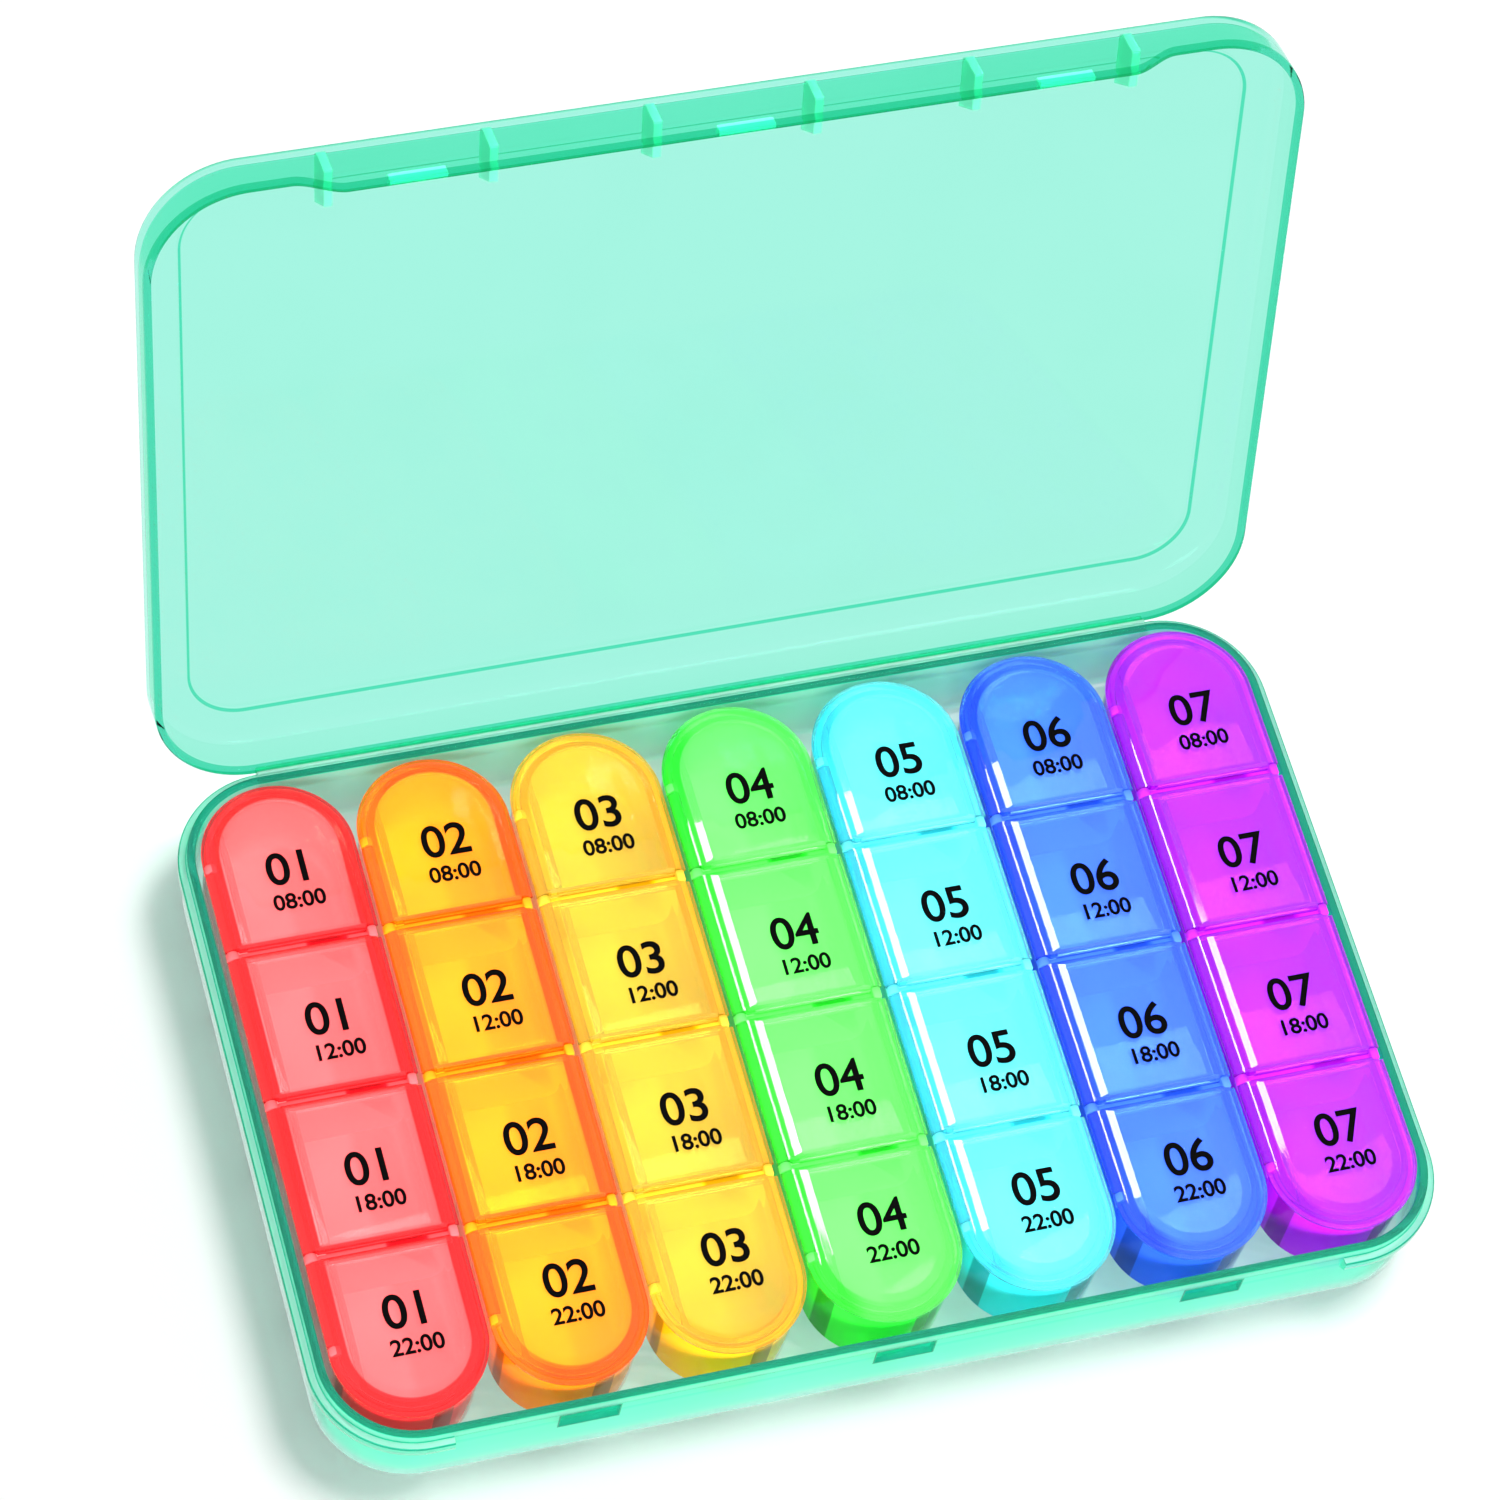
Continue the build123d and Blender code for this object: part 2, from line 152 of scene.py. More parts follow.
class LidSizes(bpy.types.PropertyGroup):
    """The small lids over the compartments."""

    ledge: length("Finger Ledge", "Width of the ledge round a small lid", 0.8)
    crown: length("Crown", "Width of the rounded crown and ledge together", 3.1)
    bevel: length("Bevel", "Width of the flat bevel between crown and panel", 1.5)
    end_gap: length("End Gap", "Gap between neighbouring lids over a divider", 1.2)
    arc_steps: IntProperty(name="Arc Steps", description="Faces round a lid's round end", default=48, min=8)


class BoxColours(bpy.types.PropertyGroup):
    """Two colours for each day: of the plastic looked through and seen edge on."""

    sun_clear: colour("Day 1 Panel", "Light red", 255, 169, 171)
    sun_deep: colour("Day 1 Edge", "Deep red", 242, 30, 42)
    mon_clear: colour("Day 2 Panel", "Golden yellow", 255, 214, 46)
    mon_deep: colour("Day 2 Edge", "Orange", 255, 130, 15)
    tue_clear: colour("Day 3 Panel", "Lemon yellow", 228, 221, 100)
    tue_deep: colour("Day 3 Edge", "Deep yellow", 250, 185, 10)
    wed_clear: colour("Day 4 Panel", "Light green", 168, 253, 166)
    wed_deep: colour("Day 4 Edge", "Deep green", 45, 222, 50)
    thu_clear: colour("Day 5 Panel", "Light cyan", 156, 249, 251)
    thu_deep: colour("Day 5 Edge", "Deep cyan", 50, 205, 220)
    fri_clear: colour("Day 6 Panel", "Light blue", 120, 180, 255)
    fri_deep: colour("Day 6 Edge", "Deep blue", 45, 95, 235)
    sat_clear: colour("Day 7 Panel", "Light purple", 210, 80, 252)
    sat_deep: colour("Day 7 Edge", "Deep purple", 190, 22, 225)


class LegendSizes(bpy.types.PropertyGroup):
    """The plain numbers printed on the small lids."""

    day_size: length("Day Number", "Letter size of the day's number", 9.0)
    hour_size: length("Hour Number", "Letter size of the hour's number", 4.3)
    ink: FloatVectorProperty(
        name="Ink", description="Colour of the print", default=(0.004, 0.004, 0.004), subtype="COLOR"
    )


# Shapes


def shell(rings, edge=0.0, closed=False, split=False):
    """A skin through a stack of rings, an array (rings, columns, 3) in millimetres, with its edge tint.

    Ring r's column c joins column c + 1 and ring r + 1, and the last column joins the first. The first
    and last rings are closed by a flat face, or joined to each other where the stack is closed. A split
    last face is made of strips from each column to the one that lies as far from the ring's other end.
    """
    rows, columns = rings.shape[:2]
    row = np.arange(rows if closed else rows - 1)[:, None] * columns
    column = np.arange(columns)[None, :]
    after = (column + 1) % columns
    above = (row + columns) % (rows * columns)
    faces = np.stack([row + column, row + after, above + after, above + column], -1).reshape(-1, 4).tolist()
    if not closed:
        faces.append(list(range(columns - 1, -1, -1)))
        last = (rows - 1) * columns
        if split:
            near = last + np.arange(columns // 2 - 1)
            far = 2 * last + columns - 1 - near
            faces += np.stack([near, near + 1, far - 1, far], -1).tolist()
        else:
            faces.append(list(range(last, last + columns)))
    tint = np.broadcast_to(np.asarray(edge, float), (rows, columns)).reshape(-1)
    return rings.reshape(-1, 3), faces, tint


def prism(outline, axis, low, high, round_over=0.15, edge=0.5):
    """A closed outline carried along an axis, its two ends drawn in a little so that the edges are round.

    The outline holds the two coordinates that follow the axis in X, Y, Z order. It is turned round where
    its signed area is negative, so that the skin faces outwards.
    """
    points = np.asarray(outline, float)
    x, y = points.T
    if np.sum(x * np.roll(y, -1) - y * np.roll(x, -1)) < 0:
        points, edge = points[::-1], np.broadcast_to(edge, len(points))[::-1]
    middle = points.mean(0)
    reach = np.abs(points - middle).max(0)
    small = middle + (points - middle) * (1 - round_over / np.maximum(reach, round_over * 2))
    places = [(small, low), (points, low + round_over), (points, high - round_over), (small, high)]
    rings = np.zeros((4, len(points), 3))
    for ring, (flat, place) in zip(rings, places):
        ring[:, axis] = place
        ring[:, (axis + 1) % 3] = flat[:, 0]
        ring[:, (axis + 2) % 3] = flat[:, 1]
    return shell(rings, edge)


def round_bar(radius, axis, centre, low, high, edge=0.5, steps=24):
    """A round bar along an axis with its ends rounded over by a fifth of the radius."""
    turn = np.linspace(0, TAU, steps, endpoint=False)
    outline = np.stack([centre[0] + radius * np.cos(turn), centre[1] + radius * np.sin(turn)], 1)
    return prism(outline, axis, low, high, radius / 5, edge)


def case_outline(half_x, half_y, radius, front, steps=20):
    """Points and outward normals round the case, anticlockwise from the front's left end.

    Each corner is a quarter turn of the radius; the front has its own list of X places.
    """
    quarter = np.linspace(0, math.pi / 2, steps)
    across, along = half_x - radius, half_y - radius
    stops = np.linspace(-1, 1, 14)[1:-1]
    corners = [(across, -along, -1), (across, along, 0), (-across, along, 1), (-across, -along, 2)]
    sides = [
        (np.stack([0 * stops + half_x, stops * along], 1), (1.0, 0.0)),
        (np.stack([-stops * across, 0 * stops + half_y], 1), (0.0, 1.0)),
        (np.stack([0 * stops - half_x, -stops * along], 1), (-1.0, 0.0)),
        None,
    ]
    runs = [(np.stack([front, 0 * front - half_y], 1), np.tile((0.0, -1.0), (len(front), 1)))]
    for (x, y, start), side in zip(corners, sides):
        turn = quarter + start * math.pi / 2
        normal = np.stack([np.cos(turn), np.sin(turn)], 1)
        runs.append((np.array([x, y]) + radius * normal, normal))
        if side:
            runs.append((side[0], np.tile(side[1], (len(stops), 1))))
    return np.concatenate([run[0] for run in runs]), np.concatenate([run[1] for run in runs])


def inset_rings(outline, normal, inset, height):
    """The outline drawn in along its normals by inset and lifted to height, each (rows, 1 or columns)."""
    shape = (len(inset), len(outline))
    inset = np.broadcast_to(inset, shape)[..., None]
    height = np.broadcast_to(height, shape)[..., None]
    return np.concatenate([outline[None] - inset * normal[None], height], -1)


def smooth_step(value, start, end):
    """0 before start, 1 after end, and a smooth S between them."""
    t = np.clip((value - start) / (end - start), 0, 1)
    return t * t * (3 - 2 * t)


def opened(points):
    """Points of the shut cover turned about the case's hinge to where they are when it stands open."""
    turn = -math.radians(OPEN_ANGLE)
    y, z = points[..., 1] - HINGE_Y, points[..., 2] - HINGE_Z
    out = points.copy()
    out[..., 1] = HINGE_Y + y * math.cos(turn) - z * math.sin(turn)
    out[..., 2] = HINGE_Z + y * math.sin(turn) + z * math.cos(turn)
    return out


def piece(name, shells, body, nodes, material, sharp=38):
    """One object from a list of shells: rides on a body, stands for CAD nodes and takes the given material.
    """
    starts = np.cumsum([0] + [len(part[0]) for part in shells])
    points = np.concatenate([part[0] for part in shells]) * MM
    faces = [[index + start for index in face] for part, start in zip(shells, starts) for face in part[1]]
    mesh = bpy.data.meshes.new(name)
    mesh.from_pydata(points.tolist(), [], faces)
    tint = mesh.attributes.new("edge", "FLOAT", "POINT")
    tint.data.foreach_set("value", np.concatenate([part[2] for part in shells]).astype(np.float32))
    mesh.validate()
    mesh.shade_smooth()
    mesh.set_sharp_from_angle(angle=math.radians(sharp))
    mesh.materials.append(material)
    obj = bpy.data.objects.new(name, mesh)
    bpy.context.scene.collection.objects.link(obj)
    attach(obj, body)
    if nodes:
        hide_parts(*nodes)
    return obj


# Materials and lights


def new_material(name):
    """A new material and its node tree."""
    material = bpy.data.materials.new(name)
    material.use_nodes = True
    return material, material.node_tree


def math_node(tree, operation, *values, clamp=False):
    """The result of a math node whose inputs are numbers or other nodes' outputs."""
    node = tree.nodes.new("ShaderNodeMath")
    node.operation = operation
    node.use_clamp = clamp
    for socket, value in zip(node.inputs, values):
        if isinstance(value, bpy.types.NodeSocket):
            tree.links.new(value, socket)
        else:
            socket.default_value = value
    return node.outputs[0]


def moulding_group():
    """Node group: the clouds, the grained roughness and the ripples of moulded plastic."""
    name = "Moulded Plastic"
    if name in bpy.data.node_groups:
        return bpy.data.node_groups[name]
    group = bpy.data.node_groups.new(name, "ShaderNodeTree")
    for label, value in (("Cloud Scale", 25.0), ("Ripple", 0.05), ("Roughness", 0.08)):
        socket = group.interface.new_socket(label, in_out="INPUT", socket_type="NodeSocketFloat")
        socket.default_value = value
    for label in ("Cloud", "Roughness"):
        group.interface.new_socket(label, in_out="OUTPUT", socket_type="NodeSocketFloat")
    group.interface.new_socket("Normal", in_out="OUTPUT", socket_type="NodeSocketVector")
    nodes, links = group.nodes, group.links
    inputs = nodes.new("NodeGroupInput")
    outputs = nodes.new("NodeGroupOutput")
    place = nodes.new("ShaderNodeTexCoord")
    cloud = nodes.new("ShaderNodeTexNoise")
    cloud.inputs["Detail"].default_value = 2.0
    links.new(place.outputs["Object"], cloud.inputs["Vector"])
    links.new(inputs.outputs["Cloud Scale"], cloud.inputs["Scale"])
    grain = nodes.new("ShaderNodeTexNoise")
    grain.inputs["Scale"].default_value = 400.0
    grain.inputs["Detail"].default_value = 1.0
    links.new(place.outputs["Object"], grain.inputs["Vector"])
    spread = math_node(group, "MULTIPLY_ADD", grain.outputs["Fac"], 0.02, inputs.outputs["Roughness"])
    bump = nodes.new("ShaderNodeBump")
    bump.inputs["Distance"].default_value = 0.0008
    links.new(inputs.outputs["Ripple"], bump.inputs["Strength"])
    links.new(cloud.outputs["Fac"], bump.inputs["Height"])
    links.new(cloud.outputs["Fac"], outputs.inputs["Cloud"])
    links.new(spread, outputs.inputs["Roughness"])
    links.new(bump.outputs["Normal"], outputs.inputs["Normal"])
    return group


def translucent_plastic(name, clear, deep, transmission, index, veil_level, coat=0.0, ripple=0.05):
    """Tinted translucent plastic: light where it is looked through, deep along edges and thick places.

    The edge attribute mixes the two colours from 0 to 1 and darkens the deep one from 1 to 1.5, which is
    painted shade. Clouds vary them a little, and shadow rays pass through, dimmed to the veil level at
    each face.
    """
    material, tree = new_material(name)
    nodes, links = tree.nodes, tree.links
    shader = nodes["Principled BSDF"]
    shader.inputs["Transmission Weight"].default_value = transmission
    shader.inputs["IOR"].default_value = index
    shader.inputs["Coat Weight"].default_value = coat
    moulding = nodes.new("ShaderNodeGroup")
    moulding.node_tree = moulding_group()
    moulding.inputs["Roughness"].default_value = 0.02
    moulding.inputs["Ripple"].default_value = ripple
    edge = nodes.new("ShaderNodeAttribute")
    edge.attribute_name = "edge"
    sway = math_node(tree, "MULTIPLY_ADD", moulding.outputs["Cloud"], 0.16, -0.08)
    depth = math_node(tree, "ADD", edge.outputs["Fac"], sway, clamp=True)
    tint = nodes.new("ShaderNodeMix")
    tint.data_type = "RGBA"
    tint.inputs["A"].default_value = (*clear, 1)
    tint.inputs["B"].default_value = (*deep, 1)
    links.new(depth, tint.inputs["Factor"])
    # Painted shade: edge values from 1 to 1.5 darken the deep colour down to a fifth of it
    thick = nodes.new("ShaderNodeMapRange")
    thick.inputs["From Min"].default_value = 1.0
    thick.inputs["From Max"].default_value = 1.5
    links.new(edge.outputs["Fac"], thick.inputs["Value"])
    shade = nodes.new("ShaderNodeMix")
    shade.data_type = "RGBA"
    shade.inputs["B"].default_value = (*[channel * 0.2 for channel in deep], 1)
    links.new(thick.outputs["Result"], shade.inputs["Factor"])
    links.new(tint.outputs["Result"], shade.inputs["A"])
    links.new(shade.outputs["Result"], shader.inputs["Base Color"])
    links.new(moulding.outputs["Roughness"], shader.inputs["Roughness"])
    links.new(moulding.outputs["Normal"], shader.inputs["Normal"])
    veil = nodes.new("ShaderNodeBsdfTransparent")
    veil.inputs["Color"].default_value = (veil_level, veil_level, veil_level, 1)
    path = nodes.new("ShaderNodeLightPath")
    choose = nodes.new("ShaderNodeMixShader")
    links.new(path.outputs["Is Shadow Ray"], choose.inputs["Fac"])
    links.new(shader.outputs["BSDF"], choose.inputs[1])
    links.new(veil.outputs["BSDF"], choose.inputs[2])
    links.new(choose.outputs[0], nodes["Material Output"].inputs["Surface"])
    return material


def printed_ink(name, black):
    """Black pad-printed ink: nearly matte, with a faint grain in its roughness."""
    material, tree = new_material(name)
    shader = tree.nodes["Principled BSDF"]
    shader.inputs["Base Color"].default_value = (*black, 1)
    shader.inputs["Specular IOR Level"].default_value = 0.0
    moulding = tree.nodes.new("ShaderNodeGroup")
    moulding.node_tree = moulding_group()
    moulding.inputs["Roughness"].default_value = 0.45
    tree.links.new(moulding.outputs["Roughness"], shader.inputs["Roughness"])
    return material


def base_plastic():
    """The paler plastic of the base and the hinge."""
    case = bpy.context.scene.organizer_case
    name = "Base Plastic"
    return bpy.data.materials.get(name) or translucent_plastic(
        name, case.pale, case.deep, transmission=0.55, index=1.3, veil_level=0.45
    )


def cover_plastic():
    """The mint plastic of the cover."""
    case = bpy.context.scene.organizer_case
    return translucent_plastic(
        "Cover Plastic", case.clear, case.rim, transmission=1.0, index=1.05, veil_level=0.985, coat=0.12
    )


def rib_plastic():
    """The cover's plastic where ribs and catches make it thick: brighter and less clear."""
    case = bpy.context.scene.organizer_case
    return translucent_plastic(
        "Rib Plastic", case.catch, case.rim, transmission=0.35, index=1.12, veil_level=0.985
    )


def day_plastic(day, part, **look):
    """One day's plastic for its box or its lids, with the look that translucent_plastic takes."""
    colours = bpy.context.scene.organizer_colours
    name = f"Day {DAYS.index(day) + 1} {part} Plastic"
    clear, deep = getattr(colours, f"{day}_clear"), getattr(colours, f"{day}_deep")
    return bpy.data.materials.get(name) or translucent_plastic(name, clear, deep, **look)


def lit_by(lamp):
    """The collection of the pieces that a lamp of this name lights alone."""
    name = f"Lit By {lamp}"
    return bpy.data.collections.get(name) or bpy.data.collections.new(name)


# Operators


class ORGANIZER_OT_stage(bpy.types.Operator):
    """Set the camera, the lamps, the world and a white table."""

    bl_idname = "organizer.stage"
    bl_label = "Stage"

    def execute(self, context):
        scene = context.scene
        scene.view_settings.view_transform = "Standard"
        scene.camera = self.camera(scene)
        key = self.lamp(scene, "Key", place=(1.15, 0.5, 2.76), size=(1.2, 1.2), power=78.0)
        key.visible_glossy = False
        fill = self.lamp(scene, "Fill", place=(-0.45, -1.2, 0.6), size=(0.8, 0.4), power=17.0)
        fill.visible_glossy = False
        strip = self.lamp(scene, "Bevel Strip", place=(-0.195, 0.56, 1.2), size=(0.21, 0.32), power=6.0)
        strip.visible_diffuse = False
        strip.light_linking.receiver_collection = lit_by("Bevel Strip")
        unlit = bpy.data.collections.new("Not Lit By Fill")
        unlit.objects.link(self.table(scene))
        unlit.collection_objects[0].light_linking.link_state = "EXCLUDE"
        fill.light_linking.receiver_collection = unlit
        low = self.lamp(scene, "Box Fill", place=(-0.35, -1.05, 0.7), size=(0.7, 0.3), power=20.0)
        low.light_linking.receiver_collection = lit_by("Box Fill")
        self.world(scene)
        return {"FINISHED"}

    def camera(self, scene):
        """The camera as fitted to the photo, from its place and its right, up and back directions."""
        camera = bpy.data.objects.new("Camera", bpy.data.cameras.new("Camera"))
        scene.collection.objects.link(camera)
        camera.data.sensor_width = 36
        camera.data.lens = 144.04
        camera.data.clip_start = 0.01
        right = Vector((0.955905, -0.262981, 0.130713))
        up = Vector((0.166882, 0.852671, 0.495078))
        back = Vector((-0.241651, -0.451434, 0.858960))
        turn = Matrix((right, up, back)).transposed()
        camera.matrix_world = Matrix.Translation((-0.26076, -0.44085, 0.95826)) @ turn.to_4x4()
        return camera

    def lamp(self, scene, name, place, size, power):
        """A rectangular area lamp aimed at the middle of the day boxes."""
        data = bpy.data.lights.new(name, "AREA")
        data.shape = "RECTANGLE"
        data.size, data.size_y = size
        data.energy = power
        lamp = bpy.data.objects.new(name, data)
        lamp.location = place
        aim = Vector((0, 0, 0.02)) - Vector(place)
        lamp.rotation_euler = aim.to_track_quat("-Z", "Y").to_euler()
        scene.collection.objects.link(lamp)
        return lamp

    def table(self, scene):
        """A white table that keeps the case's shadow, with a faint glow for the camera.

        It shows nearly white to glossy and transmitted rays.
        """
        mesh = bpy.data.meshes.new("Table")
        mesh.from_pydata([(-3, -3, 0), (3, -3, 0), (3, 3, 0), (-3, 3, 0)], [], [(0, 1, 2, 3)])
        table = bpy.data.objects.new("Table", mesh)
        scene.collection.objects.link(table)
        material, tree = new_material("Table White")
        nodes, links = tree.nodes, tree.links
        matte = nodes.new("ShaderNodeBsdfDiffuse")
        matte.inputs["Color"].default_value = (0.9, 0.9, 0.9, 1)
        white = nodes.new("ShaderNodeEmission")
        path = nodes.new("ShaderNodeLightPath")
        glossy = self.unscattered(tree, path, ["Is Glossy Ray"])
        passed = self.unscattered(tree, path, ["Is Transmission Ray"])
        mirrored = math_node(tree, "MULTIPLY", glossy, 0.85)
        whitened = math_node(tree, "MULTIPLY_ADD", passed, 0.95, mirrored)
        mix = nodes.new("ShaderNodeMixShader")
        links.new(whitened, mix.inputs["Fac"])
        links.new(matte.outputs["BSDF"], mix.inputs[1])
        links.new(white.outputs["Emission"], mix.inputs[2])
        glow = nodes.new("ShaderNodeEmission")
        direct = math_node(tree, "MULTIPLY", path.outputs["Is Camera Ray"], 0.12)
        links.new(direct, glow.inputs["Strength"])
        total = nodes.new("ShaderNodeAddShader")
        links.new(mix.outputs[0], total.inputs[0])
        links.new(glow.outputs["Emission"], total.inputs[1])
        links.new(total.outputs[0], nodes["Material Output"].inputs["Surface"])
        mesh.materials.append(material)
        return table

    def unscattered(self, tree, path, kinds):
        """1 for a ray of one of these kinds that no matte surface has scattered, else 0."""
        total = path.outputs[kinds[0]]
        for kind in kinds[1:]:
            total = math_node(tree, "ADD", total, path.outputs[kind], clamp=True)
        straight = math_node(tree, "LESS_THAN", path.outputs["Diffuse Depth"], 0.5)
        return math_node(tree, "MULTIPLY", total, straight)

    def world(self, scene):
        """A soft world: white where it is seen or mirrored, dimmer as a light."""
        world = bpy.data.worlds.new("Studio")
        world.use_nodes = True
        tree = world.node_tree
        light = tree.nodes["Background"]
        light.inputs["Color"].default_value = (1, 1, 1, 1)
        path = tree.nodes.new("ShaderNodeLightPath")
        seen = self.unscattered(tree, path, ["Is Camera Ray", "Is Glossy Ray", "Is Transmission Ray"])
        level = tree.nodes.new("ShaderNodeMapRange")
        level.inputs["To Min"].default_value = 0.3
        level.inputs["To Max"].default_value = 1.0
        tree.links.new(seen, level.inputs["Value"])
        tree.links.new(level.outputs["Result"], light.inputs["Strength"])
        scene.world = world


class ORGANIZER_OT_case_base(bpy.types.Operator):
    """Make the case base: tray, lip, ledge, latch slots and the stop for the open cover."""

    bl_idname = "organizer.case_base"
    bl_label = "Case Base"

    def execute(self, context):
        case = context.scene.organizer_case
        shells = [self.tray(case), self.stop(case)]
        piece("case_tray", shells, "case", ["case_base"], base_plastic())
        return {"FINISHED"}

    def tray(self, case):
        """One profile carried round the case, flush across the front and pressed in at the slots.

        A row of the profile is its inset from the outline, its height and its edge tint. Each slot has a
        border of painted shade, and its pocket is painted darker.
        """
        ledge, lip, floor = case.ledge_width / MM, case.lip_wall / MM, case.floor / MM
        ledge_top, corner = case.ledge_top / MM, case.corner / MM
        flush_half, band_low, foot = 81.3, 11.65, 2.0
        slot_half, slot_depth, slot_low, slot_top = 5.3, 1.1, 10.2, 14.6
        border, fade, crisp = 0.32, 0.02, 0.03
        steps = [side * (flush_half + nudge) for side in (-1, 1) for nudge in (-0.04, 0.04)]
        nudges = (-0.04, 0.04, border - fade, border + fade)
        for middle in LATCHES:
            steps += [middle + side * (slot_half + nudge) for side in (-1, 1) for nudge in nudges]
        across = CASE_X - corner
        front = np.sort(np.concatenate([np.linspace(-across, across, 30)[1:-1], steps]))
        outline, normal = case_outline(CASE_X, CASE_Y, corner, front)
        on_front = (normal[:, 1] < -0.999) & (np.abs(outline[:, 0]) < across - 0.001)
        x = np.abs(outline[:, 0])
        from_slot = np.abs(x - LATCH_PITCH * (x > LATCH_PITCH / 2))
        flush = on_front & (x < flush_half)
        pocket = on_front & (from_slot < slot_half)
        slot_shade_columns = on_front & (from_slot < slot_half + border)
        turn = np.linspace(0, math.pi / 2, 6)
        rows = [(ledge + foot * (1 - math.sin(t)), foot * (1 - math.cos(t)), 0.5) for t in turn]
        rows += [(ledge, 6.0, 0.75), (ledge, slot_low - border - fade, 0.8)]
        rows += [(ledge, slot_low - border + fade, 0.8), (ledge, slot_low - crisp, 0.8)]
        rows += [(ledge, slot_low + crisp, 0.8), (ledge, band_low, 0.8)]
        rows += [(0.25, band_low + 1.3, 0.9), (0.0, band_low + 1.65, 0.8)]
        rows += [(0.0, slot_top - crisp, 0.8), (0.0, slot_top + crisp, 0.8)]
        rows += [(0.0, slot_top + border - fade, 0.8), (0.0, slot_top + border + fade, 0.8)]
        # Tints over 1 are painted shade: dark lines along the ledge's edges and on the lip's top, and the
        # lip's inner wall darker towards its top
        rows += [(0.0, ledge_top - 0.3, 0.8), (0.0, ledge_top - 0.25, 1.35), (0.08, ledge_top - 0.08, 1.35)]
        rows += [(0.25, ledge_top, 1.2), (0.3, ledge_top, 0.25), (ledge - 0.2, ledge_top, 0.25)]
        rows += [(ledge - 0.15, ledge_top, 1.2), (ledge, ledge_top + 0.15, 1.2)]
        rows += [(ledge, ledge_top + 0.2, 0.5), (ledge, LIP_TOP - 0.4, 0.5)]
        rows += [(ledge + 0.12, LIP_TOP - 0.12, 1.45), (ledge + 0.4, LIP_TOP, 1.45)]
        rows += [(ledge + lip - 0.4, LIP_TOP, 1.45), (ledge + lip - 0.12, LIP_TOP - 0.12, 1.45)]
        rows.append((ledge + lip, LIP_TOP - 0.4, 1.3))
        rows += [(ledge + lip, 14.0, 1.0), (ledge + lip, 10.0, 0.6), (ledge + lip, floor + 1, 0.1)]
        rows += [(ledge + lip + 1 - math.cos(t), floor + 1 - math.sin(t), 0.0) for t in turn[1:]]
        rows = np.array(rows)
        side, up = rows[:, 0], rows[:, 1]
        inset, height, tint = [np.repeat(rows[:, [part]], len(outline), 1) for part in range(3)]
        banded = (up > band_low) & (side < ledge)
        inset[np.ix_(banded, flush)] = ledge
        shelf = banded & (up > ledge_top - 0.3)
        slope = np.linspace(ledge_top - 0.25, ledge_top + 0.1, shelf.sum())
        height[np.ix_(shelf, flush)] = slope[:, None]
        slotted = (up > slot_low) & (up < slot_top) & (side <= ledge)
        inset[np.ix_(slotted, pocket)] = ledge + slot_depth
        # Painted light: the inner wall is paler at the rear, where it faces the front
        inner = (side > ledge + lip - 0.01) & (up < LIP_TOP - 0.3)
        tint[inner] *= 1 - 0.8 * smooth_step(normal[:, 1], 0.3, 0.9)
        # Painted shade: a dark border round each slot, and a darker pocket inside it
        slot_shade_rows = (up > slot_low - border) & (up < slot_top + border) & (side <= ledge)
        tint[np.ix_(slot_shade_rows, slot_shade_columns)] = 1.4
        tint[np.ix_(slotted, pocket)] = 1.25
        return shell(inset_rings(outline, normal, inset, height), tint)

    def stop(self, case):
        """The bar behind the hinge whose sloped top the open cover rests on."""
        reach, tilt = 1.6, math.radians(OPEN_ANGLE - 90)
        out, fall, top = reach * math.cos(tilt), reach * math.sin(tilt), HINGE_Z - 0.1
        front, back = CASE_Y - case.ledge_width / MM, CASE_Y + out
        outline = [(front, top), (CASE_Y, top), (back, top - fall), (back, top - fall - 0.6)]
        outline.append((front, top - fall - 2.8))
        return prism(outline, 0, -HINGE_HALF, HINGE_HALF, round_over=0.1, edge=0.2)


class ORGANIZER_OT_hinge(bpy.types.Operator):
    """Make the thin hinge strip along the rear edge."""

    bl_idname = "organizer.hinge"
    bl_label = "Hinge Strip"

    def execute(self, context):
        radius = 0.45
        strip = round_bar(radius, 0, (HINGE_Y, HINGE_Z), -HINGE_HALF, HINGE_HALF, edge=0.0, steps=20)
        piece("hinge_web", [strip], "case", ["hinge_strip"], base_plastic())
        return {"FINISHED"}


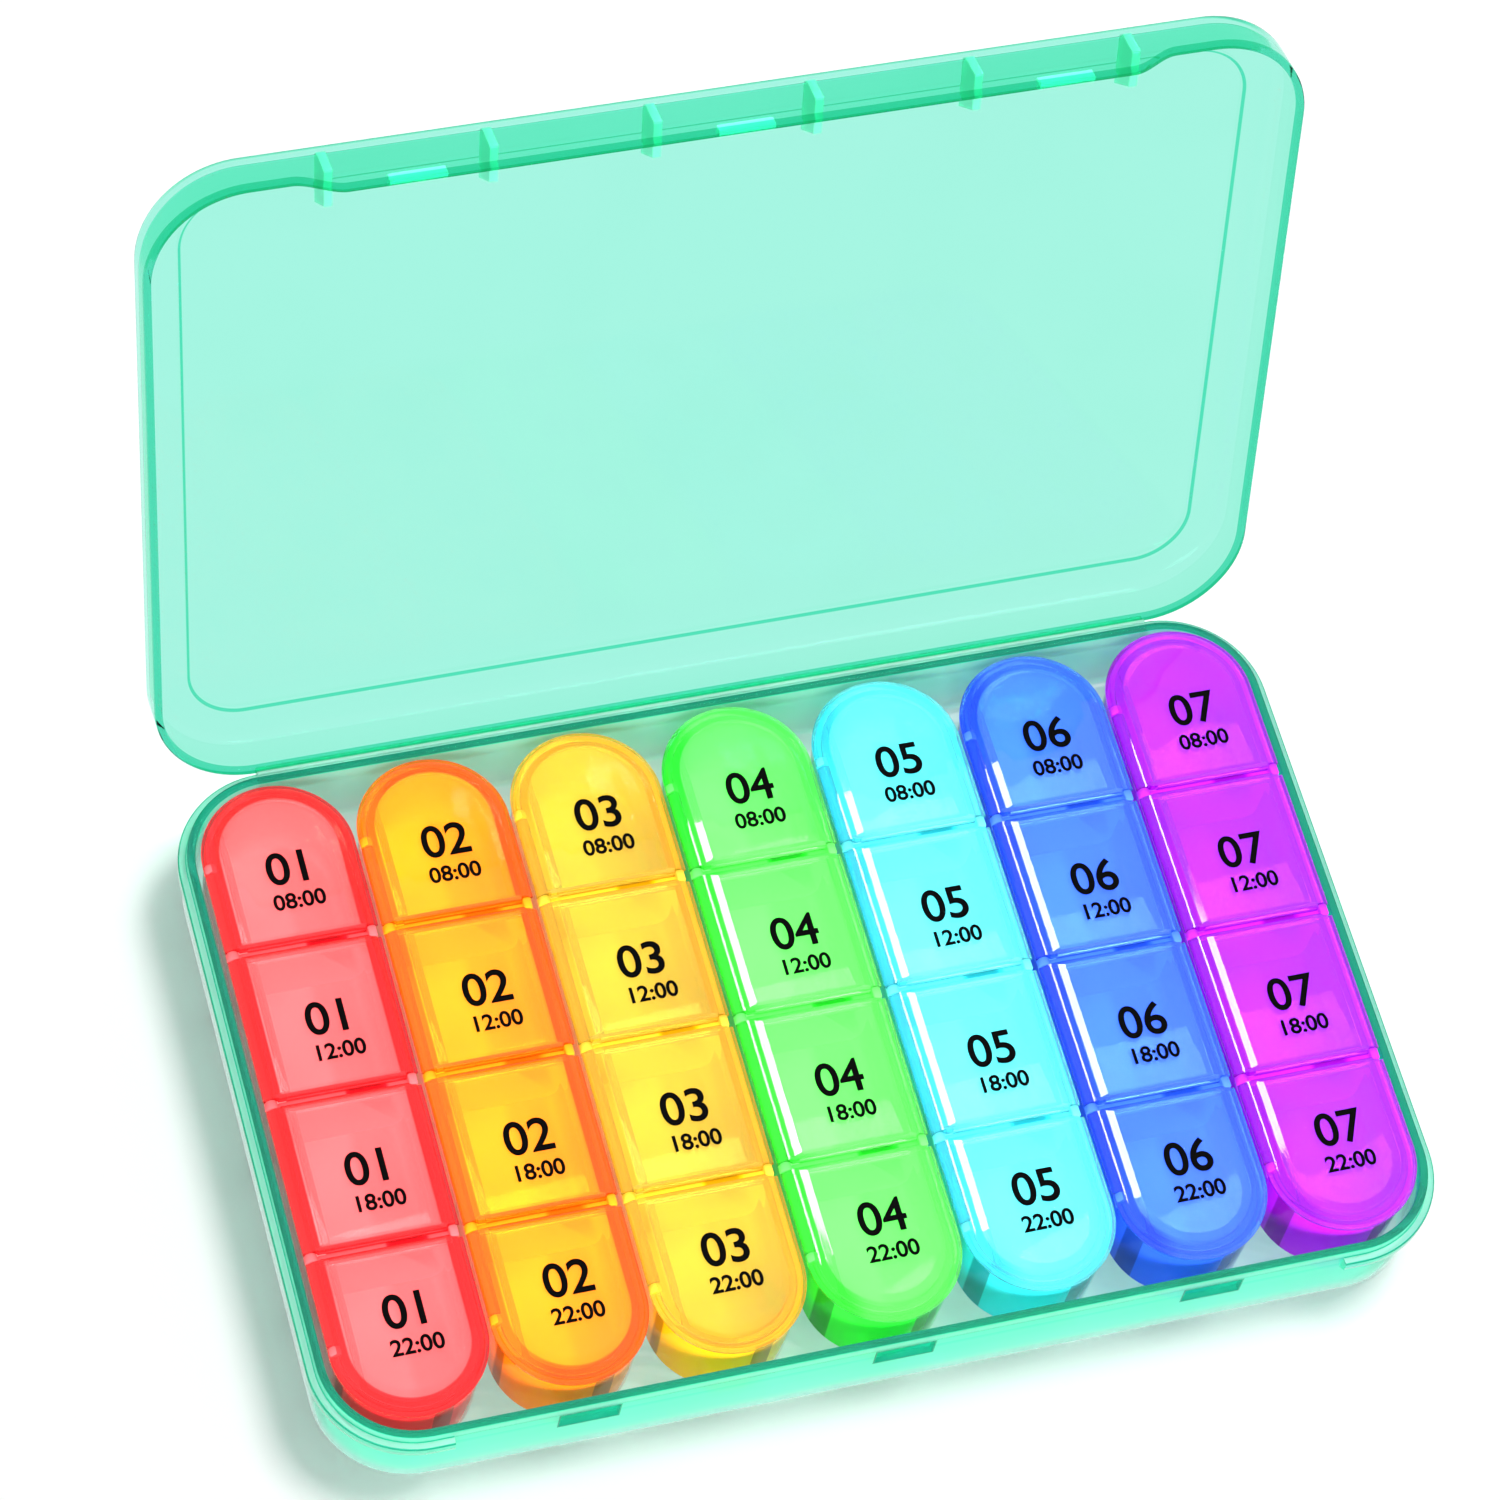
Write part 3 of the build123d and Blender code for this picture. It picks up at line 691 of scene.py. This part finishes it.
class ORGANIZER_OT_cover(bpy.types.Operator):
    """Make the case's cover, standing open, with its flap, catches and ribs."""

    bl_idname = "organizer.cover"
    bl_label = "Case Cover"

    def execute(self, context):
        case = context.scene.organizer_case
        wall, low = case.cover_wall / MM, case.ledge_top / MM + 0.1
        top = low + case.cover_height / MM
        roof = top - case.cover_panel / MM
        shells = [self.skin(case, wall, low, roof, top)]
        piece("case_cover", shells, "cover", ["case_lid"], cover_plastic())
        shells = self.catches_and_ribs(wall, roof)
        piece("cover_ribs", shells, "cover", [], rib_plastic())
        return {"FINISHED"}

    def skin(self, case, wall, low, roof, top):
        """One profile carried round the shut case, then turned open.

        A row of the profile is its inset from the outline, its height, its edge tint and 1 where its
        height is measured from the rim, which the flap draws down.
        """
        corner, flap_start, flap_end = case.corner / MM, 69.0, 78.0
        sweep = np.linspace(flap_start - 0.5, flap_end + 0.5, 24)
        front = np.sort(np.concatenate([np.linspace(-66, 66, 23), sweep, -sweep, [-82, 82]]))
        front = front[np.abs(front) < CASE_X - corner]
        outline, normal = case_outline(CASE_X, CASE_Y, corner, front, steps=24)
        flap = (1 - smooth_step(np.abs(outline[:, 0]), flap_start, flap_end)) * (normal[:, 1] < -0.999)
        rim = low - case.flap_drop / MM * flap
        turn = np.linspace(0, math.pi / 2, 10)
        outer_round = 3.0
        inner_round = outer_round - wall
        # Tints over 1 paint a little shade: on the inner edge of the raised field and across the rim
        raised = [(8.6, 0.4, 0.0), (8.35, 0.4, 0.0), (8.2, 0.36, 1.1), (7.8, 0.04, 1.1), (7.65, 0.0, 0.0)]
        raised.append((7.3, 0.0, 0.0))
        rows = [(side, roof + up, tint, 0) for side, up, tint in raised]
        for t in turn:
            side, up = wall + inner_round * (1 - math.sin(t)), roof - inner_round * (1 - math.cos(t))
            rows.append((side, up, 0.0, 0))
        rows += [(wall, roof - inner_round - 0.05, 0.18, 0), (wall, low + 2.0, 0.18, 0)]
        rows.append((wall, 1.1, 0.18, 1))
        half_rim = [(0.0, 1.0), (0.0, 0.3), (0.08, 0.08), (0.25, 0.0)]
        rows += [(wall - side, up, 1.15, 1) for side, up in half_rim]
        rows += [(side, up, 1.15, 1) for side, up in reversed(half_rim)]
        rows += [(0.0, 1.1, 0.1, 1), (0.0, low + 2.0, 0.1, 0)]
        # Painted shade: a dark line along the outer round of the cover's front side
        crease_shade_rows = len(rows) + np.array([5, 6, 7])
        for t in turn:
            rows.append((outer_round * (1 - math.cos(t)), top - outer_round * (1 - math.sin(t)), 0.0, 0))
        rows += [(side, top + up, min(tint, 0.1), 0) for side, up, tint in reversed(raised)]
        rows = np.array(rows)
        height = rows[:, 1:2] + rows[:, 3:] * rim
        tint = np.repeat(rows[:, 2:3], len(outline), 1)
        tint[crease_shade_rows] = 1.28 * smooth_step(-normal[:, 1], 0.5, 0.95)
        return shell(opened(inset_rings(outline, normal, rows[:, :1], height)), tint)

    def catches_and_ribs(self, wall, roof):
        """Three catches on the flap, and a rib in the front corner between each two day boxes."""
        inner = -CASE_Y + wall
        half, top, back = 5.0, 14.45, inner - 0.6
        catch = [(back, top), (inner + 1, top), (inner + 1, top - 1), (inner, top - 2), (back, top - 2)]
        shells = [prism(catch, 0, x - half, x + half, round_over=0.12, edge=0.0) for x in LATCHES]
        half, low, top, back = 0.75, LIP_TOP + 0.35, roof + 0.3, inner - 0.5
        rib = [(back, low), (inner + 7, low), (inner + 11, top), (back + 1.4, top), (back, roof - 1.2)]
        for left, right in zip(DAY_X[:-1], DAY_X[1:]):
            x = (left + right) / 2
            shells.append(prism(rib, 0, x - half, x + half, round_over=0.12, edge=0.4))
        return [(opened(points), faces, edge) for points, faces, edge in shells]


class ORGANIZER_OT_day_boxes(bpy.types.Operator):
    """Make the seven day boxes with their dividers, hinge ears and corner posts."""

    bl_idname = "organizer.day_boxes"
    bl_label = "Day Boxes"

    def execute(self, context):
        for day, x in zip(DAYS, DAY_X):
            shells = [self.tub(x, day in WARM_DAYS)]
            self.add_dividers(shells, x)
            self.add_ears(shells, x)
            plastic = day_plastic(day, "Box", transmission=0.1, index=1.15, veil_level=0.65)
            tub = piece(f"{day}_tub", shells, f"{day}_tray", [f"{day}_box"], plastic)
            lit_by("Box Fill").objects.link(tub)
        return {"FINISHED"}

    def tub(self, x, warm):
        """The round-ended tub: its wall draws in with depth, and the rim dips on the left for the barrels.

        Two upright bands of painted shade stand on each round end. A row of the profile is its inset, its
        height, how far it follows the dip and its edge tint.
        """
        wall, half, draft = 1.2, LID_HALF - 0.6, math.tan(math.radians(1.5))
        foot, hollow, fade = 0.8, 2.5, 0.01
        # Painted shade: dark upright bands on each round end, narrower on the warm days
        bands = [(-0.99, -0.94), (0.12, 0.4)] if warm else [(-0.96, -0.82), (0.2, 0.6)]
        edges = np.array([edge + step for band in bands for edge in band for step in (0, fade)])
        turn = np.sort(np.concatenate([np.linspace(0, math.pi, 40), np.arccos(edges), np.arccos(-edges)]))
        arc = np.stack([np.cos(turn), np.sin(turn)], 1)
        normal = np.concatenate([arc, -arc])
        across = normal[:, 0]
        centre = np.repeat([ROUND_Y, -ROUND_Y], len(turn))
        outline = half * normal + np.stack([0 * centre, centre], 1)
        dip = smooth_step(-across, 0.86, 0.95) * 1.05
        corner = np.linspace(0, math.pi / 2, 5)
        rows = [(foot * (1 - math.sin(t)), TUB_FOOT + foot * (1 - math.cos(t)), 0, 1.0) for t in corner]
        rows += [(0, 10.0, 0, 1.0), (0, TUB_RIM - 2.0, 0, 1.0), (0, TUB_RIM - 0.2, 1, 1.0)]
        rows += [(0.06, TUB_RIM - 0.06, 1, 1.0), (0.2, TUB_RIM, 1, 1.0), (wall - 0.2, TUB_RIM, 1, 1.0)]
        rows += [(wall - 0.06, TUB_RIM - 0.06, 1, 1.0), (wall, TUB_RIM - 0.2, 1, 0.9)]
        rows.append((wall, TUB_RIM - 2.0, 0, 0.9))
        for t in corner:
            up = TUB_FOOT + wall + hollow * (1 - math.sin(t))
            rows.append((wall + hollow * (1 - math.cos(t)), up, 0, 0.6 * math.cos(t)))
        rows = np.array(rows)
        side, up = rows[:, :1], rows[:, 1:2]
        rings = inset_rings(outline, normal, side + (TUB_RIM - up) * draft, up - rows[:, 2:3] * dip)
        rings[..., 0] += x
        # Painted shade along the bands, on the outer wall only
        band_shade = np.zeros(len(normal))
        for start, end in bands:
            band_shade += 0.36 * (smooth_step(across, start, start + fade) - smooth_step(across, end, end + fade))
        upright = (side < 0.1) & (up > TUB_FOOT + 0.5) & (up < TUB_RIM - 0.1)
        tint = rows[:, 3:] + upright * band_shade
        # Painted shade: the floor's middle is deeper in colour towards the right
        tint[-1] = 0.42 * smooth_step(rings[-1, :, 0] - x, 1.0, 3.5)
        return shell(rings, tint, split=True)

    def add_dividers(self, shells, x):
        """Three cross walls, each cut off at its upper left corner, with one stretch of painted shade on top.
        """
        half, floor, reach, foot = 0.6, TUB_FOOT + 1.0, 12.9, 12.3
        outline = [(TUB_RIM - 1.1, x - reach)]
        outline += [(TUB_RIM, x + place) for place in (-11.2, 0.5, 1.5, 7.0, 8.5, reach)]
        outline += [(floor, x + foot), (floor, x - foot)]
        # Painted shade: the top is dark from about 1.5 to 7 mm right of the box's middle
        tint = np.array([0.8, 0.8, 0.8, 1.3, 1.3, 0.8, 0.8, 0.5, 0.5])
        shells += [prism(outline, 1, y - half, y + half, round_over=0.15, edge=tint) for y in DIVIDERS]

    def add_ears(self, shells, x):
        """Hinge ears on the left, at the dividers and where the round ends start, and posts on the right."""
        bar_x, bar_z = x - LID_HALF + BARREL, TUB_RIM + 0.25
        turn = np.linspace(-0.5, math.pi + 0.5, 20)
        ear = [(bar_z + BARREL * math.sin(t), bar_x + BARREL * math.cos(t)) for t in turn]
        ear += [(bar_z - 2 * BARREL, bar_x - BARREL / 2), (bar_z - 2 * BARREL, bar_x + BARREL / 2)]
        for y in (*DIVIDERS, -ROUND_Y + EAR_HALF, ROUND_Y - EAR_HALF):
            shells.append(prism(ear, 1, y - EAR_HALF, y + EAR_HALF, round_over=0.2, edge=0.7))
        left, right, low, top = x + LID_HALF - 2.05, x + LID_HALF - 0.6, TUB_RIM - 0.3, TUB_RIM + 1.3
        post = [(low, left), (top - 0.15, left), (top, left + 0.2), (top, right - 0.2)]
        post += [(top - 0.15, right), (low, right)]
        for y in DIVIDERS:
            shells.append(prism(post, 1, y - POST_HALF, y + POST_HALF, round_over=0.2, edge=0.6))


class ORGANIZER_OT_small_lids(bpy.types.Operator):
    """Make the 28 small lids, each with its barrel, pins and plug."""

    bl_idname = "organizer.small_lids"
    bl_label = "Small Lids"

    def execute(self, context):
        for day, x in zip(DAYS, DAY_X):
            plastic = day_plastic(day, "Lid", transmission=0.8, index=1.42, veil_level=0.95, ripple=0.006)
            left, right = CROWN_PAINTED_SHADE[day]
            for time in TIMES:
                placed = []
                for points, faces, edge in self.lid(time in ("morn", "spare")):
                    # Painted light and shade: the crown's colour is deeper or paler on its left than
                    # elsewhere, by day
                    edge = edge * (right + (left - right) * smooth_step(-points[:, 0], 5.0, 9.5))
                    if time in ("night", "spare"):
                        points = points * (1, -1, 1)
                        faces = [face[::-1] for face in faces]
                    placed.append((points + (x, 0, 0), faces, edge))
                name, body, slot = f"{day}_{time}_cap", f"{day}_{time}", f"{day}_plastic"
                cap = piece(name, placed, body, [f"{day}_{time}_lid"], plastic, sharp=12)
                if day not in WARM_DAYS:
                    lit_by("Bevel Strip").objects.link(cap)
        return {"FINISHED"}

    def lid(self, round_end):
        """Shells of one lid behind the middle divider: body, plug ring, barrel and pins.

        A row of the body or the plug is its inset from the long sides and from the dividers and its
        height over the lid's lower edge. The body's rows have their edge tint too.
        """
        sizes = bpy.context.scene.organizer_lids
        ledge, crown, bevel = sizes.ledge / MM, sizes.crown / MM, sizes.bevel / MM
        rows = [(3.4, 1.5, 0.8, 0.0), (3.1, 1.3, 0.78, 0.9), (1.95, 1.15, 0.32, 0.9), (1.9, 1.1, 0.1, 0.9)]
        rows += [(1.8, 1.0, 0, 0.9), (0.15, 0.1, 0, 0.9), (0, 0, 0.12, 1.0), (0, 0, 0.58, 1.0)]
        rows += [(0.12, 0, 0.69, 0.9), (ledge - 0.06, 0, 0.7, 0.8)]
        for t in np.linspace(0, math.pi / 2, 9):
            inward = 1 - math.cos(t)
            rows.append((ledge + (crown - ledge) * inward, 0.7 * inward, 0.78 + 0.87 * math.sin(t), 0.9))
        for along, tint in ((0.06, 0.25), (0.12, 0.2), (bevel - 0.16, 0.1), (bevel - 0.1, 0.05)):
            rows.append((crown + along, 0.75 + 0.3 * along, 1.66 + 0.24 * (along - 0.06), tint))
        rows.append((crown + bevel + 0.1, 1.25, LID_RISE, 0.0))
        rings = [self.ring(side, end, up, round_end) for side, end, up, _ in rows]
        shells = [shell(np.array(rings), np.array(rows)[:, 3:])]
        plug = [(2.1, 0.3, -1.3), (2.7, 0.9, -1.3), (2.85, 1.05, -1.15), (2.85, 1.05, 0.1)]
        plug += [(1.95, 0.15, 0.1), (1.95, 0.15, -1.15)]
        rings = [self.ring(side, end, up, round_end, left_limit=-11.65) for side, end, up in plug]
        shells.append(shell(np.array(rings), 0.6, closed=True))
        centre = (LID_TOP - LID_RISE + 0.15, -LID_HALF + BARREL)
        pin, pin_length, overlap, gap = 0.6, 0.75, 0.1, EAR_HALF + PLAY
        first = (DIVIDER_PITCH if round_end else 0.0) + gap
        last = ROUND_Y - EAR_HALF - gap if round_end else DIVIDER_PITCH - gap
        shells.append(round_bar(BARREL, 1, centre, first, last, edge=0.8))
        for low, high in ((first - pin_length, first + overlap), (last - overlap, last + pin_length)):
            shells.append(round_bar(pin, 1, centre, low, high, edge=0.8, steps=16))
        return shells

    def ring(self, side, end, up, round_end, left_limit=None):
        """One ring of a lid, drawn in by side from its long sides and by end from its dividers.

        The straight end steps back at its corners for the ear and the post, where no left limit keeps the
        ring clear of them, and the round end is a half turn.
        """
        sizes = bpy.context.scene.organizer_lids
        half, start = LID_HALF - side, DIVIDER_PITCH if round_end else 0.0
        left = -half if left_limit is None else max(-half, left_limit + side)
        ear, post, step = -11.375, 11.725, 0.045
        stops = [-LID_HALF, ear - step, ear + step, -6, 0, 6, post - step, post + step, LID_HALF]
        apart = 0.03 * np.arange(len(stops))
        x = np.clip(stops, left + apart, half - apart[::-1])
        y = np.full(len(x), sizes.end_gap / MM / 2 + end)
        if left_limit is None:
            y = np.where(x < ear, np.maximum(y, EAR_HALF + PLAY), y)
            y = np.where(x > post, np.maximum(y, POST_HALF + PLAY), y)
        first = np.stack([x, start + y], 1)
        if round_end:
            turn = np.linspace(0, math.pi, sizes.arc_steps)
            last = np.stack([np.maximum(half * np.cos(turn), left), ROUND_Y + half * np.sin(turn)], 1)
        else:
            last = np.stack([x[::-1], DIVIDER_PITCH - y[::-1]], 1)
        flat = np.concatenate([first, last])
        return np.concatenate([flat, np.full((len(flat), 1), LID_TOP - LID_RISE + up)], 1)


# Half the thickness of the print, and how far the outlines of its letters are widened, in metres
PRINT_HALF = 0.03 * MM
DAY_WEIGHT = 0.13 * MM
HOUR_WEIGHT = 0.1 * MM
# Outline and hole of a four, in parts of the text size: the font's own loses its hole when widened.
FOUR = (
    (
        (0.398, 0.691), (0.356, 0.691), (0.011, 0.269), (0.011, 0.224), (0.3, 0.224), (0.3, 0.0),
        (0.398, 0.0), (0.398, 0.224), (0.471, 0.224), (0.471, 0.312), (0.398, 0.312),
    ),
    ((0.3, 0.508), (0.3, 0.312), (0.142, 0.312)),
)


class ORGANIZER_OT_legends(bpy.types.Operator):
    """Print plain numbers on the small lids: the day large, the hour small."""

    bl_idname = "organizer.legends"
    bl_label = "Printed Numbers"

    def execute(self, context):
        sizes = context.scene.organizer_legends
        ink = bpy.data.materials.get("Printed Ink") or printed_ink("Printed Ink", sizes.ink)
        hours = {"morn": "08:00", "noon": "12:00", "night": "18:00", "spare": "22:00"}
        centres = {"morn": 44.9, "noon": 14.5, "night": -15.3, "spare": -43.0}
        for number, (day, x) in enumerate(zip(DAYS, DAY_X), 1):
            for time in TIMES:
                middle, base = x + 1.0, centres[time] - 0.5
                words = [(f"{number:02d}", sizes.day_size, (middle, base), DAY_WEIGHT)]
                if number == 4:
                    # The two digits lie left and right of the middle, half a digit's width away
                    half = sizes.day_size / MM * 0.25
                    words = [("0", sizes.day_size, (middle - half, base), DAY_WEIGHT)]
                    words.append((FOUR, sizes.day_size, (middle, base - 1.2 * half), DAY_WEIGHT))
                words.append((hours[time], sizes.hour_size, (middle + 0.2, base - 6.5), HOUR_WEIGHT))
                self.print_on(f"{day}_{time}_print", words, f"{day}_{time}", f"{day}_plastic", ink)
        return {"FINISHED"}

    def typed(self, name, text, size):
        """Centred text as a curve."""
        curve = bpy.data.curves.new(name, "FONT")
        curve.body = text
        curve.size = size
        curve.align_x = "CENTER"
        curve.align_y = "CENTER"
        return curve

    def drawn(self, name, rings, size):
        """A filled flat curve from closed rings of points."""
        curve = bpy.data.curves.new(name, "CURVE")
        curve.dimensions = "2D"
        curve.fill_mode = "BOTH"
        for ring in rings:
            spline = curve.splines.new("POLY")
            spline.points.add(len(ring) - 1)
            for point, (x, y) in zip(spline.points, ring):
                point.co = (x * size, y * size, 0.0, 1.0)
            spline.use_cyclic_u = True
        return curve

    def print_on(self, name, words, body, slot, ink):
        """One mesh of thin letters that stand on the lid's panel, each closed and facing outwards."""
        shells = []
        for text, size, (x, y), weight in words:
            curve = self.drawn(name, text, size) if text is FOUR else self.typed(name, text, size)
            curve.offset = weight
            curve.extrude = PRINT_HALF
            holder = bpy.data.objects.new(name, curve)
            mesh = bpy.data.meshes.new_from_object(holder)
            mesh.transform(Matrix.Translation((x * MM, y * MM, LID_TOP * MM + PRINT_HALF)))
            closed = bmesh.new()
            closed.from_mesh(mesh)
            bmesh.ops.remove_doubles(closed, verts=closed.verts, dist=1e-8)
            bmesh.ops.recalc_face_normals(closed, faces=closed.faces)
            closed.to_mesh(mesh)
            closed.free()
            points = np.zeros(len(mesh.vertices) * 3)
            mesh.vertices.foreach_get("co", points)
            faces = [list(face.vertices) for face in mesh.polygons]
            shells.append((points.reshape(-1, 3) / MM, faces, np.zeros(len(mesh.vertices))))
            bpy.data.objects.remove(holder)
            bpy.data.curves.remove(curve)
            bpy.data.meshes.remove(mesh)
        piece(name, shells, body, [], ink)


class ORGANIZER_PT_panel(bpy.types.Panel):
    """Sidebar panel with one button for each group of pieces and the sizes behind them."""

    bl_idname = "ORGANIZER_PT_panel"
    bl_label = "Pill Organizer"
    bl_space_type = "VIEW_3D"
    bl_region_type = "UI"
    bl_category = "Organizer"

    def draw(self, context):
        layout = self.layout
        for operator in OPERATORS:
            layout.operator(operator.bl_idname)
        for group in ("organizer_case", "organizer_lids", "organizer_colours", "organizer_legends"):
            settings = getattr(context.scene, group)
            column = layout.column(align=True)
            for name in settings.__annotations__:
                column.prop(settings, name)


OPERATORS = [
    ORGANIZER_OT_stage,
    ORGANIZER_OT_case_base,
    ORGANIZER_OT_hinge,
    ORGANIZER_OT_cover,
    ORGANIZER_OT_day_boxes,
    ORGANIZER_OT_small_lids,
    ORGANIZER_OT_legends,
]
GROUPS = {
    "organizer_case": CaseSizes,
    "organizer_lids": LidSizes,
    "organizer_colours": BoxColours,
    "organizer_legends": LegendSizes,
}


def register():
    """Register the classes and give the scene their settings."""
    for group in GROUPS.values():
        bpy.utils.register_class(group)
    for name, group in GROUPS.items():
        setattr(bpy.types.Scene, name, PointerProperty(type=group))
    for operator in OPERATORS:
        bpy.utils.register_class(operator)
    bpy.utils.register_class(ORGANIZER_PT_panel)


def unregister():
    """Take the settings and the classes away again."""
    bpy.utils.unregister_class(ORGANIZER_PT_panel)
    for operator in reversed(OPERATORS):
        bpy.utils.unregister_class(operator)
    for name in GROUPS:
        delattr(bpy.types.Scene, name)
    for group in GROUPS.values():
        bpy.utils.unregister_class(group)


def main():
    """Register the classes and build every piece."""
    register()
    bpy.ops.organizer.stage()
    bpy.ops.organizer.case_base()
    bpy.ops.organizer.hinge()
    bpy.ops.organizer.cover()
    bpy.ops.organizer.day_boxes()
    bpy.ops.organizer.small_lids()
    bpy.ops.organizer.legends()


if __name__ == "__main__":
    main()
